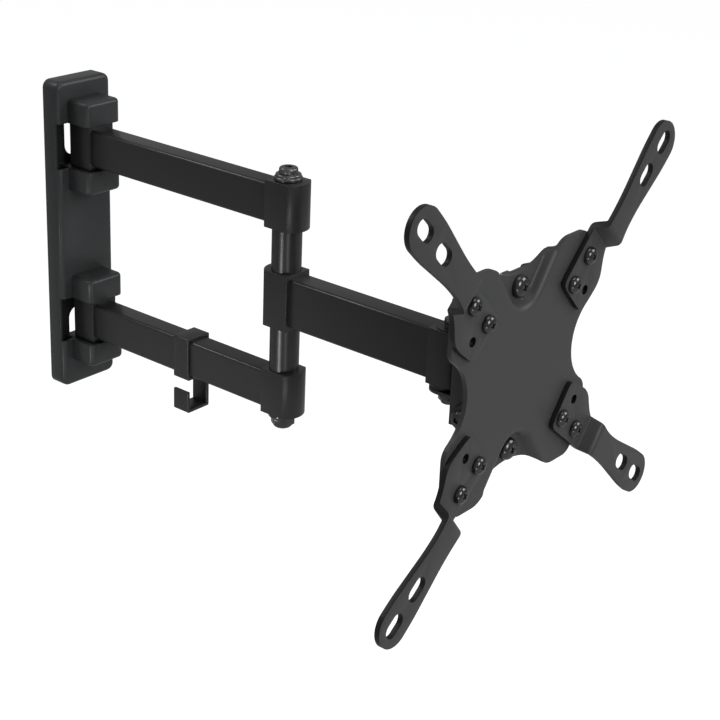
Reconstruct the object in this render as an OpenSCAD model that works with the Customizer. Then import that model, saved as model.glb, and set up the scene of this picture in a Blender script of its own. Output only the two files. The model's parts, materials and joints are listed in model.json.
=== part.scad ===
// Full-motion wall mount for a flat screen: wall plate, two hinges, a double arm,
// a forearm, a swivel and tilt head, and a pressed plate with four screen arms.
// Units are millimetres. The wall is the plane y = 0 and the screen side is -Y.

/* [Wall side] */
// Width of the plastic wall cover
cover_w = 42; // [42:1:56]
// Height of the plastic wall cover
cover_h = 196; // [190:1:230]
// Depth of the plastic wall cover
cover_d = 13; // [12.5:0.5:13.5]
// Wall thickness of the plastic wall cover
cover_wall = 2; // [1.5:0.5:2.5]
// Radius along the front edges of the wall cover
cover_edge = 2.5; // [2:0.5:3]
// Thickness of the steel wall plate
wall_t = 2.5; // [2:0.5:3]
// Width of each wall screw slot
slot_w = 14; // [6:1:14]
// Length of each wall screw slot
slot_l = 34; // [24:1:34]
// Height of the upper slot's centre
slot_top_z = 65.5; // [62:0.5:68]
// Height of the lower slot's centre
slot_low_z = -68; // [-70:0.5:-64]

/* [Wall hinges] */
// Distance of the hinge axis from the wall
hinge_y = 18.5; // [18.5:0.5:19.5]
// Height of the upper hinge
upper_z = 58.5; // [57:0.5:60]
// Height of the lower hinge
lower_z = -53; // [-55:0.5:-51]
// Free height between the two ears of a hinge
hinge_gap = 28; // [28:0.5:30]
// Thickness of a hinge ear
ear_t = 3; // [2:0.5:4]
// Width of a hinge cap
cap_w = 26.6; // [26:0.2:28]
// Height of a hinge cap
cap_h = 14.5; // [14:0.5:18]
// Distance of a hinge cap's front from the wall
cap_front = 30.5; // [30.5:0.5:33]
// Wall thickness of a hinge cap
cap_wall = 1.8; // [1.5:0.1:2]
// Radius of a hinge cap's upright edges
cap_edge = 3; // [2.5:0.5:3.5]
// Radius of the hinge bolts
hinge_bolt_r = 5; // [4:0.5:5]

/* [Arms] */
// Distance from the wall hinge to the elbow
arm_len = 159.5; // [140:0.5:220]
// Height of an arm tube
arm_h = 22.8; // [20:0.2:23.4]
// Width of an arm tube
arm_w = 14; // [12:0.5:14]
// Sideways offset of an arm tube from the hinge axis
arm_shift = 1; // [0:0.5:1]
// Distance from the elbow to the head axis
fore_len = 115.5; // [100:0.5:180]
// Height of the forearm's centre
fore_z = 3.5; // [2:0.5:5]
// Height of the forearm tube
fore_h = 28.8; // [26:0.2:29]
// Width of the forearm tube
fore_w = 15; // [12:0.5:15]
// Wall thickness of the steel tubes
tube_t = 1.5; // [1.2:0.1:2]
// Outer corner radius of the steel tubes
tube_edge = 2; // [2:0.25:3]

/* [Knuckles] */
// Height of an arm knuckle
knuckle_h = 27; // [26:0.5:27]
// Radius of an arm knuckle's round end
knuckle_r = 12.5; // [12:0.25:12.5]
// Half the width between an arm knuckle's flat sides
knuckle_half = 9.5; // [9:0.25:9.5]
// Distance from the axis to a knuckle's mouth
mouth = 8.9; // [8.5:0.1:10]
// Height of the forearm's knuckle at the elbow
elbow_h = 33; // [30:0.5:34]
// Height of the sleeve at the head
sleeve_h = 31; // [30:0.5:32]
// Radius of a pivot bore
bore_r = 7; // [6.5:0.25:7.5]
// Flange thickness of a pivot bush
flange_t = 0.5; // [0.5:0.1:0.8]
// Radius of the elbow spacer tubes
pole_r = 8.5; // [8:0.25:9.5]
// Radius of the washers at the ends of the elbow bolt
washer_r = 8.5; // [8:0.25:9]
// Radius of the elbow and head bolts
pivot_bolt_r = 4; // [3.5:0.5:4.5]

/* [Cable clip] */
// Distance of the clip from the wall hinge
clip_at = 80.5; // [30:1:120]
// Width of the clip along the arm
clip_w = 12; // [8:0.5:16]
// Thickness of the clip's strap
clip_t = 1.8; // [1.5:0.1:2.2]
// Depth of the hook below the arm
hook_drop = 23; // [18:0.5:28]
// Height of the hook's upturned lip
lip_h = 13.5; // [8:0.5:14]

/* [Head] */
// Thickness of the bent steel brackets
bracket_t = 2.2; // [2:0.1:2.4]
// Thickness of the swivel bracket's two ears
head_ear_t = 3.4; // [2:0.1:3.6]
// Radius of the swivel bracket's ears
ear_r = 9.5; // [9:0.25:9.5]
// Overhang of the lower ear behind the head axis
ear_back = 6; // [0:0.5:7]
// Thickness of the spacer below the sleeve
spacer_t = 1; // [0.6:0.1:3]
// Half the outer width of the swivel bracket
swivel_half = 13.3; // [12:0.1:14]
// Distance from the head axis to the tilt axis
tilt_reach = 19; // [18:0.5:19.5]
// Drop of the tilt axis below the forearm's centre
tilt_drop = 25; // [24.5:0.5:27]
// Radius of the tilt lugs
lug_r = 6.5; // [6:0.25:7]
// Radius of the tilt bolt
tilt_bolt_r = 3; // [2.5:0.5:3]
// Thickness of a tilt friction washer
friction_t = 0.5; // [0.4:0.1:1]

/* [Screen plate] */
// Distance from the head axis to the plate's middle plane
plate_reach = 45; // [45:0.5:50]
// Height of the plate's centre above the wall plate's centre
plate_z = 7.5; // [5:0.5:10]
// Thickness of the pressed plate
plate_t = 2.5; // [2:0.5:3]
// Half the width of the plate
plate_half = 61.5; // [60:0.5:64]
// Half the height of the plate
plate_up = 63.4; // [62:0.2:66]
// Half the width of the plate's waist
waist_half = 46; // [44:0.5:48]
// Depth of the two pressed pockets
pocket_d = 5.5; // [4:0.5:6]
// Distance of a pocket screw from the plate's centre
pocket_at = 44.5; // [43:0.5:46]
// Spacing of the outer arm screws, as on the larger screen pattern
wide_pitch = 100; // [100:1:100]
// Spacing of the inner arm screws, as on the smaller screen pattern
narrow_pitch = 75; // [75:1:75]

/* [Screen arms] */
// Thickness of a screen arm
arm_t = 3; // [2.5:0.5:3]
// Forward step of a screen arm
joggle = 7.8; // [6:0.2:9]
// Half the width of a screen arm at its waist
arm_waist = 8.2; // [7.6:0.1:8.6]
// Radius of a screen arm's tip
tip_r = 11.5; // [11.4:0.1:12]
// Distance of the outer slot from the plate's centre
slot_out = 143.5; // [142:0.5:144]
// Distance between the outer and the inner slot
slot_step = 20.6; // [18:0.2:22]
// Radius of a slot's ends
slot_r = 4.25; // [3.5:0.25:4.5]
// Turn of the two lower screen arms on their inner screws
lower_lean = 7; // [0:0.5:8]
// Straight length of a slot
slot_run = 5; // [4:0.5:7]
// Radius of the small screws
screw_r = 2.5; // [2:0.25:2.5]
// Radius of the pocket screws
big_screw_r = 3; // [2.5:0.5:3.5]

/* [Hidden] */
$fn = 64;
eps = 0.01;
fit = 0.05;
slack = 0.1;
up_axis = -hinge_y;
elbow_y = -(hinge_y + arm_len);
head_y = elbow_y - fore_len;
plate_y = head_y - plate_reach;
tilt_y = head_y - tilt_reach;
tilt_z = fore_z - tilt_drop;
front_n = -arm_t / 2;
back_n = front_n - plate_t;
floor_n = front_n - pocket_d;
web_y = plate_y - floor_n + plate_t;
fork_y = head_y - knuckle_half - 0.8;
ear_top_z = fore_z + sleeve_h / 2 + flange_t;
ear_low_z = fore_z - sleeve_h / 2 - flange_t - spacer_t;
ear_under = ear_low_z - head_ear_t;
ear_over = ear_top_z + head_ear_t;
inner_a = narrow_pitch / sqrt(2);
outer_a = wide_pitch / sqrt(2);
cheek_in = swivel_half + friction_t;
tilt_half = cheek_in + bracket_t;
notch_y = cover_d - 3;
side_wall = cover_w / 2 - cover_wall;
hinge_z = [upper_z, lower_z];
steel = [0.16, 0.16, 0.16];
plastic = [0.13, 0.13, 0.13];
grey = [0.27, 0.27, 0.27];
bright = [0.07, 0.07, 0.07];
nylon = [0.05, 0.05, 0.05];

// Rounded rectangle, centred
module rounded(w, h, r) {
  square([w - 2 * r, h], center = true);
  square([w, h - 2 * r], center = true);
  for (sx = [-1, 1], sy = [-1, 1])
    translate([sx * (w / 2 - r), sy * (h / 2 - r)]) circle(r);
}

// Rectangle from y = 0 towards -Y with rounded far corners
module fronted(w, d, r) {
  translate([-w / 2, r - d]) square([w, d - r]);
  translate([r - w / 2, -d]) square([w - 2 * r, r + eps]);
  for (s = [-1, 1]) translate([s * (w / 2 - r), r - d]) circle(r);
}

// Long round-ended slot, centred, running along x
module obround(run, r) {
  square([run, 2 * r], center = true);
  for (s = [-1, 1]) translate([s * run / 2, 0]) circle(r);
}

// Solid of a (y, z) profile between two x positions
module across(x0, x1) {
  translate([x0, 0, 0]) rotate([90, 0, 90]) linear_extrude(x1 - x0) children();
}

// Hexagon bar with a round bore
module hex_nut(r, bore, h) {
  difference() {
    cylinder(h, r = r, $fn = 6);
    translate([0, 0, -1]) cylinder(h + 2, r = bore);
  }
}

// Ring with a bore
module ring(r, bore, h) {
  difference() {
    cylinder(h, r = r);
    translate([0, 0, -1]) cylinder(h + 2, r = bore);
  }
}

// Pressed steel back plate with the four hinge ears welded on
module wall_plate() color(steel) {
  difference() {
    translate([0, 0, 0]) rotate([90, 0, 0]) linear_extrude(wall_t)
      rounded(2 * (side_wall - slack), cover_h - 2 * (cover_wall + slack), 3);
    for (z = [slot_top_z, slot_low_z])
      translate([0, 1, z]) rotate([90, 0, 0]) linear_extrude(wall_t + 2)
        rotate(90) obround(slot_l - slot_w, slot_w / 2);
  }
  for (z = hinge_z) {
    translate([0, 0, z + hinge_gap / 2]) hinge_ear();
    translate([0, 0, z - hinge_gap / 2 - ear_t]) hinge_ear();
  }
}

// One ear, from the wall plate's face to just inside a cap's front
module hinge_ear() {
  ear_w = cap_w - 2 * cap_wall - 2 * slack;
  ear_out = cap_front - cap_wall - slack;
  difference() {
    translate([0, -wall_t, 0]) linear_extrude(ear_t)
      fronted(ear_w, ear_out - wall_t, cap_edge - 1);
    translate([0, -hinge_y, -1]) cylinder(ear_t + 2, r = hinge_bolt_r + fit);
  }
}

// Plastic cover, open to the wall, with a window at each hinge
module wall_cover() color(plastic) difference() {
  translate([0, 0, -cover_h / 2]) linear_extrude(cover_h)
    fronted(cover_w, cover_d, cover_edge);
  translate([0, 1, cover_wall - cover_h / 2]) linear_extrude(cover_h - 2 * cover_wall)
    fronted(2 * side_wall, cover_d - cover_wall + 1, cover_edge - 1);
  for (z = hinge_z) {
    translate([-cover_w, -2 * cover_d, z - hinge_gap / 2])
      cube([2 * cover_w, 2 * cover_d - notch_y, hinge_gap]);
    translate([-cap_w / 2 + cap_wall, -2 * cover_d, z - hinge_gap / 2 - cap_h + cap_wall])
      cube([cap_w - 2 * cap_wall, 2 * cover_d - notch_y, hinge_gap + 2 * (cap_h - cap_wall)]);
  }
}

// Cap that covers an ear and the end of its bolt, open at z = 0
module hinge_cap() difference() {
  translate([0, -cover_d, 0]) linear_extrude(cap_h)
    fronted(cap_w, cap_front - cover_d, cap_edge);
  translate([0, 1 - cover_d, -1]) linear_extrude(cap_h - cap_wall + 1)
    fronted(cap_w - 2 * cap_wall, cap_front - cover_d - cap_wall + 1, cap_edge - 1);
}

module cap_above(z) color(plastic)
  translate([0, 0, z + hinge_gap / 2]) hinge_cap();

module cap_below(z) color(plastic)
  translate([0, 0, z - hinge_gap / 2]) mirror([0, 0, 1]) hinge_cap();

// Bolt of each hinge, head up, with a hexagon socket
module hinge_bolts() color(bright) for (z = hinge_z)
  translate([0, up_axis, z]) difference() {
    union() {
      translate([0, 0, -hinge_gap / 2 - ear_t - 8.5])
        cylinder(hinge_gap + 2 * ear_t + 8.5 + eps, r = hinge_bolt_r);
      translate([0, 0, hinge_gap / 2 + ear_t]) cylinder(5, r = 8);
    }
    translate([0, 0, hinge_gap / 2 + ear_t + 1]) cylinder(5, r = 4, $fn = 6);
  }

module hinge_nuts() color(bright) for (z = hinge_z)
  translate([0, up_axis, z - hinge_gap / 2 - ear_t - 8])
    hex_nut(9, hinge_bolt_r + eps, 8);

// Two flanged bushes in one knuckle of height h
module bush_pair(h, bolt) {
  for (s = [0, 1]) rotate([180 * s, 0, 0]) translate([0, 0, h / 2]) {
    ring(bore_r + 1.5, bolt + fit, flange_t);
    translate([0, 0, -8]) ring(bore_r - eps, bolt + fit, 8 + eps);
  }
}

module wall_hinge_bushes() color(nylon) for (z = hinge_z)
  translate([0, up_axis, z]) bush_pair(hinge_gap - 2 * flange_t, hinge_bolt_r);

// Knuckle with its round end at +Y and its mouth and spigot towards -Y
module knuckle(h, half, r, bore, shift, tube_w, tube_h) {
  difference() {
    union() {
      translate([0, 0, -h / 2]) linear_extrude(h) {
        intersection() {
          circle(r);
          translate([-half, -mouth]) square([2 * half, mouth + r]);
        }
        translate([-half, -mouth]) square([2 * half, mouth]);
      }
      translate([-shift, -mouth, 0]) rotate([90, 0, 0])
        translate([0, 0, -1]) linear_extrude(13)
          rounded(tube_w - 2 * tube_t - 2 * slack, tube_h - 2 * tube_t - 2 * slack, 1);
    }
    translate([0, 0, -h]) cylinder(2 * h, r = bore);
  }
}

module wall_knuckle(z) color(steel) translate([0, up_axis, z])
  knuckle(hinge_gap - 2 * flange_t, knuckle_half, knuckle_r, bore_r, arm_shift, arm_w, arm_h);

module elbow_knuckle(z) color(steel) translate([0, elbow_y, z]) mirror([0, 1, 0])
  knuckle(knuckle_h, knuckle_half, knuckle_r, pivot_bolt_r + fit, arm_shift, arm_w, arm_h);

// Rectangular steel tube along -Y
module tube(w, h, from_y, to_y) {
  translate([0, from_y, 0]) rotate([90, 0, 0]) linear_extrude(from_y - to_y)
    difference() {
      rounded(w, h, tube_edge);
      rounded(w - 2 * tube_t, h - 2 * tube_t, tube_edge - tube_t + 0.5);
    }
}

module arm_tube(z) color(steel) translate([-arm_shift, 0, z])
  tube(arm_w, arm_h, up_axis - mouth, elbow_y + mouth);

// Elbow: spacer tubes, through bolt, washers and cap nut
module upper_elbow_spacer() color(steel) {
  low = fore_z + elbow_h / 2 + flange_t;
  translate([0, elbow_y, low]) ring(pole_r, pivot_bolt_r + fit, upper_z - knuckle_h / 2 - low);
}

module lower_elbow_spacer() color(steel) {
  low = lower_z + knuckle_h / 2;
  high = fore_z - elbow_h / 2 - flange_t;
  translate([0, elbow_y, low]) ring(pole_r, pivot_bolt_r + fit, high - low);
}

module elbow_bolt() color(bright) {
  top = upper_z + knuckle_h / 2 + 2.5;
  end = lower_z - knuckle_h / 2 - 2.5 - 6;
  difference() {
    translate([0, elbow_y, 0]) {
      translate([0, 0, end]) cylinder(top - end + eps, r = pivot_bolt_r);
      translate([0, 0, top]) rotate_extrude()
        polygon([[0, 0], [6, 0], [6, 4.2], [5.6, 4.6], [4.6, 4.6], [4.6, 5.7], [4.2, 6.1], [0, 6.1]]);
    }
    translate([0, elbow_y, top + 3]) cylinder(4, r = 2.6, $fn = 6);
  }
}

module elbow_top_washer() color(bright)
  translate([0, elbow_y, upper_z + knuckle_h / 2]) ring(washer_r, pivot_bolt_r + fit, 2.5);

module elbow_bottom_washer() color(bright)
  translate([0, elbow_y, lower_z - knuckle_h / 2 - 2.5]) ring(washer_r, pivot_bolt_r + fit, 2.5);

module elbow_cap_nut() color(bright)
  translate([0, elbow_y, lower_z - knuckle_h / 2 - 2.5]) mirror([0, 0, 1]) difference() {
    union() {
      cylinder(5, r = 7, $fn = 6);
      rotate_extrude() polygon([[0, 0], [5.8, 0], [5.8, 5.4], [4.8, 6.6], [3, 7.2], [0, 7.4]]);
    }
    translate([0, 0, -1]) cylinder(7, r = pivot_bolt_r + eps);
  }

// Strap around the lower arm with an open hook below it
module cable_clip() color(steel) {
  in_w = arm_w + 2 * slack;
  in_h = arm_h + 2 * slack;
  out_w = in_w + 2 * clip_t;
  low = -in_h / 2 - clip_t;
  translate([-arm_shift, up_axis - clip_at, lower_z]) rotate([90, 0, 0]) linear_extrude(clip_w) {
    difference() {
      rounded(out_w, in_h + 2 * clip_t, 1.2);
      square([in_w, in_h], center = true);
    }
    difference() {
      translate([0, low - hook_drop / 2 + 2]) rounded(out_w, hook_drop, 1.2);
      translate([0, low - hook_drop / 2 + clip_t + 2]) square([in_w, hook_drop], center = true);
      translate([-out_w, lip_h - hook_drop + low + 2]) square([out_w, hook_drop]);
    }
  }
}

// Forearm
module forearm_tube() color(steel) translate([0, 0, fore_z])
  tube(fore_w, fore_h, elbow_y - mouth, head_y + mouth);

module forearm_elbow_knuckle() color(steel) translate([0, elbow_y, fore_z])
  knuckle(elbow_h, knuckle_half, knuckle_r, bore_r, 0, fore_w, fore_h);

module forearm_head_sleeve() color(steel) translate([0, head_y, fore_z]) mirror([0, 1, 0])
  knuckle(sleeve_h, knuckle_half, knuckle_half, bore_r, 0, fore_w, fore_h);

module elbow_bushes() color(nylon) translate([0, elbow_y, fore_z])
  bush_pair(elbow_h, pivot_bolt_r);

module head_bushes() color(nylon) translate([0, head_y, fore_z])
  bush_pair(sleeve_h, pivot_bolt_r);

// Swivel bracket: two ears around the sleeve, a web and two forward cheeks
module swivel_bracket() color(bright) {
  web_front = fork_y - bracket_t;
  for (ear = [[ear_top_z, ear_back / 2], [ear_under, ear_back]])
    translate([0, 0, ear[0]]) difference() {
      linear_extrude(head_ear_t) {
        translate([0, head_y + ear[1]]) circle(ear_r);
        translate([-ear_r, web_front]) square([2 * ear_r, head_y + ear[1] - web_front]);
      }
      translate([0, head_y, -1]) cylinder(head_ear_t + 2, r = pivot_bolt_r + fit);
    }
  translate([-swivel_half, web_front, tilt_z - lug_r])
    cube([2 * swivel_half, bracket_t, ear_over - tilt_z + lug_r]);
  for (s = [0, 1]) mirror([s, 0, 0]) difference() {
    across(swivel_half - bracket_t, swivel_half) {
      translate([tilt_y, tilt_z]) circle(lug_r);
      polygon([
        [fork_y, ear_over], [web_front - 1, ear_over],
        [tilt_y - lug_r * 0.97, tilt_z + 1.6], [tilt_y, tilt_z - lug_r], [fork_y, tilt_z - lug_r]
      ]);
    }
    across(0, 2 * swivel_half) translate([tilt_y, tilt_z]) circle(tilt_bolt_r + fit);
  }
}

module swivel_bolt() color(bright) translate([0, head_y, 0]) difference() {
  union() {
    translate([0, 0, ear_under - 6.5]) cylinder(ear_over - ear_under + 6.5 + eps, r = pivot_bolt_r);
    translate([0, 0, ear_over]) rotate_extrude()
      polygon([[0, 0], [5.5, 0], [5.5, 0.8], [4.8, 1.6], [3, 2], [0, 2]]);
  }
  translate([0, 0, ear_over + 0.6]) cylinder(4, r = 2.4, $fn = 6);
}

module swivel_spacer() color(nylon)
  translate([0, head_y, ear_low_z]) ring(8.5, pivot_bolt_r + fit, spacer_t);

module swivel_nut() color(bright)
  translate([0, head_y, ear_under - 5]) hex_nut(5.8, pivot_bolt_r + eps, 5);

// Tilt bracket: channel behind the plate with two lugs at the tilt axis
module tilt_bracket() color(steel) {
  low = plate_z - 50;
  high = plate_z + 51.5;
  difference() {
    translate([-tilt_half, web_y, low]) cube([2 * tilt_half, bracket_t, high - low]);
    for (s = [-1, 1]) translate([0, web_y + 5, plate_z + s * pocket_at]) rotate([90, 0, 0])
      cylinder(20, r = big_screw_r + slack);
  }
  for (s = [0, 1]) mirror([s, 0, 0]) difference() {
    across(cheek_in, tilt_half) {
      translate([tilt_y, tilt_z]) circle(lug_r);
      polygon([
        [web_y, low], [web_y + 5, low], [tilt_y + 2.6, tilt_z - 6],
        [tilt_y + 5.6, tilt_z + 3.3], [web_y + 7.5, tilt_z + 16], [web_y + 7.5, high - 5],
        [web_y + 6, high - 1.5], [web_y + 2.5, high], [web_y, high]
      ]);
    }
    across(0, 2 * tilt_half) translate([tilt_y, tilt_z]) circle(tilt_bolt_r + fit / 2);
  }
}

module tilt_bolt() color(bright) translate([0, tilt_y, tilt_z]) rotate([0, 90, 0]) difference() {
  union() {
    translate([0, 0, -tilt_half]) cylinder(2 * tilt_half + 5.5, r = tilt_bolt_r);
    translate([0, 0, -tilt_half]) mirror([0, 0, 1]) rotate_extrude()
      polygon([[0, -eps], [4.6, -eps], [4.6, 1.4], [3.8, 2.6], [2.2, 3.1], [0, 3.2]]);
  }
  translate([0, 0, -tilt_half - 4]) cylinder(2.4, r = 1.8, $fn = 6);
}

module tilt_nut() color(bright)
  translate([tilt_half, tilt_y, tilt_z]) rotate([0, 90, 0]) hex_nut(5.8, tilt_bolt_r + eps, 5);

module tilt_friction_washers() color(nylon) for (x = [swivel_half, -swivel_half - friction_t])
  translate([x, tilt_y, tilt_z]) rotate([0, 90, 0]) ring(lug_r - 0.5, tilt_bolt_r + fit, friction_t);

// Places its child, drawn in (u, v, n), on the plate's middle plane
module on_plate() translate([0, plate_y, plate_z]) rotate([90, 0, 0]) children();

// Carries a child from a screen arm's own (a, b) axes to its corner of the plate
module at_corner(su, sv) {
  mirror([su < 0 ? 1 : 0, 0, 0]) mirror([0, sv < 0 ? 1 : 0, 0]) rotate(45) mirror([0, 1, 0])
    translate([inner_a, 0, 0]) rotate(sv < 0 ? lower_lean : 0) translate([-inner_a, 0, 0])
      children();
}

// Holes of one corner for its two screws and the spare one beside them
module corner_holes() for (p = [[inner_a, 0], [outer_a, 0], [inner_a + 3.9, 12.4]])
  translate([p[0], p[1], -20]) cylinder(40, r = screw_r + slack);

// Outline of the plate: cut corners, hollow sides, dipped top and bottom
module plate_outline() {
  side_r = 26;
  dip_r = 46;
  dip = 12;
  offset(r = -6) offset(r = 15) offset(delta = -9) difference() {
    polygon([
      [50, plate_up], [plate_half, plate_up - 12], [plate_half, 12 - plate_up], [50, -plate_up],
      [-50, -plate_up], [-plate_half, 12 - plate_up], [-plate_half, plate_up - 12], [-50, plate_up]
    ]);
    for (s = [-1, 1]) {
      translate([s * (waist_half + side_r), 0]) circle(side_r, $fn = 96);
      translate([0, s * (plate_up - dip + dip_r)]) circle(dip_r, $fn = 128);
    }
  }
}

// Well between two planes, wider by one amount at the top and another at the floor
module well(n_top, n_low, grow_top, grow_low) hull() {
  translate([0, 0, n_top]) linear_extrude(eps) well_shape(grow_top);
  translate([0, 0, n_low]) linear_extrude(eps) well_shape(grow_low);
}

module well_shape(grow) {
  translate([0, 49]) circle(12 + grow, $fn = 48);
  translate([-22 - grow, 59]) square([44 + 2 * grow, 12]);
}

// Pressed plate with a pocket open to its top edge and one to its bottom edge
module screen_plate() color(grey) on_plate() difference() {
  union() {
    translate([0, 0, back_n]) linear_extrude(plate_t) plate_outline();
    for (s = [0, 180]) rotate([0, 0, s]) intersection() {
      translate([0, 0, floor_n - plate_t]) linear_extrude(pocket_d + plate_t) plate_outline();
      well(front_n - eps, floor_n - plate_t, 4.4, 1.6);
    }
  }
  for (s = [0, 180]) rotate([0, 0, s]) {
    well(front_n, floor_n, 2.4, 0);
    well(front_n, front_n - 1.2, 3.6, 2);
    translate([0, pocket_at, floor_n - 10]) cylinder(20, r = big_screw_r + slack);
  }
  for (su = [-1, 1], sv = [-1, 1]) at_corner(su, sv) corner_holes();
}

// Side view of a screen arm: a strip with a step forward and rounded bends
module arm_profile() {
  step_a = 84;
  offset(r = -1.4) offset(r = 2.8) offset(delta = -1.4) polygon([
    [40, front_n], [step_a + 1.6, front_n], [step_a + 4.6, front_n + joggle],
    [170, front_n + joggle], [170, -front_n + joggle], [step_a + 1.4, -front_n + joggle],
    [step_a - 1.6, -front_n], [40, -front_n]
  ]);
}

// Outline of a screen arm: a paddle with the screws, a waist and a round tip
module arm_outline() offset(r = -10) offset(r = 13) offset(delta = -3) {
  waist_b = arm_waist;
  polygon([
    [50, -7.6], [47.6, -5.5], [47, 16.5], [47.8, 18.6], [50, 19.7], [59, 20.8], [65, 21.2],
    [70, 19.8], [74.5, 16.2], [79, 12.9], [84, waist_b + 2.6], [90, waist_b + 1], [97, waist_b],
    [107, waist_b], [121, waist_b + 1.6], [133, tip_r - 0.3], [slot_out, tip_r],
    [slot_out, -tip_r], [133, 0.3 - tip_r], [121, -waist_b - 1.6], [107, -waist_b], [92, -waist_b]
  ]);
  translate([slot_out, 0]) circle(tip_r);
}

// Screen arm, drawn along its own axes as (a, b, n)
module screen_arm() difference() {
  intersection() {
    rotate([90, 0, 0]) translate([0, 0, -30]) linear_extrude(60) arm_profile();
    translate([0, 0, -5]) linear_extrude(20) arm_outline();
  }
  for (a = [slot_out, slot_out - slot_step]) translate([a, 0, 0]) linear_extrude(20)
    obround(slot_run, slot_r);
  corner_holes();
}

module arm_at(su, sv) color(grey) on_plate() at_corner(su, sv) screen_arm();

// Pan head screw with a cross recess, seated at n = 0
module pan_screw(r, head_r, head_h, reach) difference() {
  union() {
    translate([0, 0, -reach]) cylinder(reach + eps, r = r);
    rotate_extrude() polygon([
      [0, 0], [head_r, 0], [head_r, head_h * 0.42], [head_r * 0.93, head_h * 0.68],
      [head_r * 0.78, head_h * 0.86], [head_r * 0.52, head_h * 0.97], [0, head_h]
    ]);
  }
  for (t = [45, 135]) rotate([0, 0, t]) translate([-head_r * 0.55, -head_r * 0.13, head_h * 0.4])
    cube([head_r * 1.1, head_r * 0.26, head_h]);
}

module arm_screws() color(bright) on_plate() for (su = [-1, 1], sv = [-1, 1])
  at_corner(su, sv) for (a = [inner_a, outer_a])
    translate([a, 0, -front_n]) pan_screw(screw_r, 4.6, 3.2, 11);

module arm_nuts() color(bright) on_plate() for (su = [-1, 1], sv = [-1, 1])
  at_corner(su, sv) for (a = [inner_a, outer_a])
    translate([a, 0, back_n - 4]) hex_nut(4.6, screw_r + eps, 4);

module pocket_screws() color(bright) on_plate() for (s = [-1, 1])
  translate([0, s * pocket_at, floor_n]) pan_screw(big_screw_r, 6, 3.8, plate_t + bracket_t + 6);

module pocket_nuts() color(bright) on_plate() for (s = [-1, 1])
  translate([0, s * pocket_at, floor_n - plate_t - bracket_t - 5])
    hex_nut(5.8, big_screw_r + eps, 5);

wall_plate();
wall_cover();
cap_above(upper_z);  // upper_hinge_top_cap
cap_below(upper_z);  // upper_hinge_bottom_cap
cap_above(lower_z);  // lower_hinge_top_cap
cap_below(lower_z);  // lower_hinge_bottom_cap
hinge_bolts();
hinge_nuts();
wall_hinge_bushes();
arm_tube(upper_z);  // upper_arm_tube
wall_knuckle(upper_z);  // upper_arm_wall_knuckle
elbow_knuckle(upper_z);  // upper_arm_elbow_knuckle
arm_tube(lower_z);  // lower_arm_tube
wall_knuckle(lower_z);  // lower_arm_wall_knuckle
elbow_knuckle(lower_z);  // lower_arm_elbow_knuckle
upper_elbow_spacer();
lower_elbow_spacer();
elbow_bolt();
elbow_top_washer();
elbow_bottom_washer();
elbow_cap_nut();
cable_clip();
forearm_tube();
forearm_elbow_knuckle();
forearm_head_sleeve();
elbow_bushes();
head_bushes();
swivel_bracket();
swivel_bolt();
swivel_spacer();
swivel_nut();
tilt_bracket();
tilt_bolt();
tilt_nut();
tilt_friction_washers();
screen_plate();
arm_at(-1, 1);  // top_left_screen_arm
arm_at(1, 1);  // top_right_screen_arm
arm_at(-1, -1);  // bottom_left_screen_arm
arm_at(1, -1);  // bottom_right_screen_arm
arm_screws();
arm_nuts();
pocket_screws();
pocket_nuts();
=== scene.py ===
import json
import math

import bpy
import numpy as np
from mathutils import Matrix, Vector


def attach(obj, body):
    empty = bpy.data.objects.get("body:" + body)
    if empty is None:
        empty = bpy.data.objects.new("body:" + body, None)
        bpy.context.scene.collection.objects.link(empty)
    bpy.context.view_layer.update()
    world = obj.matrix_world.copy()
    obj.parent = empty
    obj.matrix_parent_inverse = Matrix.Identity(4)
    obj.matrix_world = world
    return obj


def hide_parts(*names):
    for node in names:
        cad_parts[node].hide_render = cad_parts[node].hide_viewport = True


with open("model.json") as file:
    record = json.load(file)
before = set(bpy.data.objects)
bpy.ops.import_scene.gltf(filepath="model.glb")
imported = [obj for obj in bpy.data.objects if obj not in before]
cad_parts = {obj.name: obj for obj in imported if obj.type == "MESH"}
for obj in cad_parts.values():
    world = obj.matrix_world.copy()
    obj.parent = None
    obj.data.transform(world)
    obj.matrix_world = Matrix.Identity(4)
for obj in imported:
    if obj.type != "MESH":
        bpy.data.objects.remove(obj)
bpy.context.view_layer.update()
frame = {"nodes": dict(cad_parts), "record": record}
nodes = frame["nodes"]
bodies = frame["record"]["behaviour"]["bodies"]
bodyOf = {node: body for body, members in bodies.items() for node in members}
slotOf = {s["node"]: s["material_slot"] for s in frame["record"]["subparts"]}
mm = 0.001
slack = 0.01   # mm, allowed when a place is compared with a size
print("frame loaded:", len(nodes), "nodes")


def newObject(name, data):
    obj = bpy.data.objects.new(name, data)
    bpy.context.scene.collection.objects.link(obj)
    return obj


# the view of the photograph, in degrees and metres
viewOfPhoto = {
    "azimuth": -50.9, "elevation": 21.05, "roll": 2.26, "distance": 0.9769,
    "target": (0.0627, -0.1753, -0.0112), "shift": (0.0098, -0.0948),
    "lens": 82.8, "sensor": 36, "clip": (0.05, 20),
}


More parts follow.
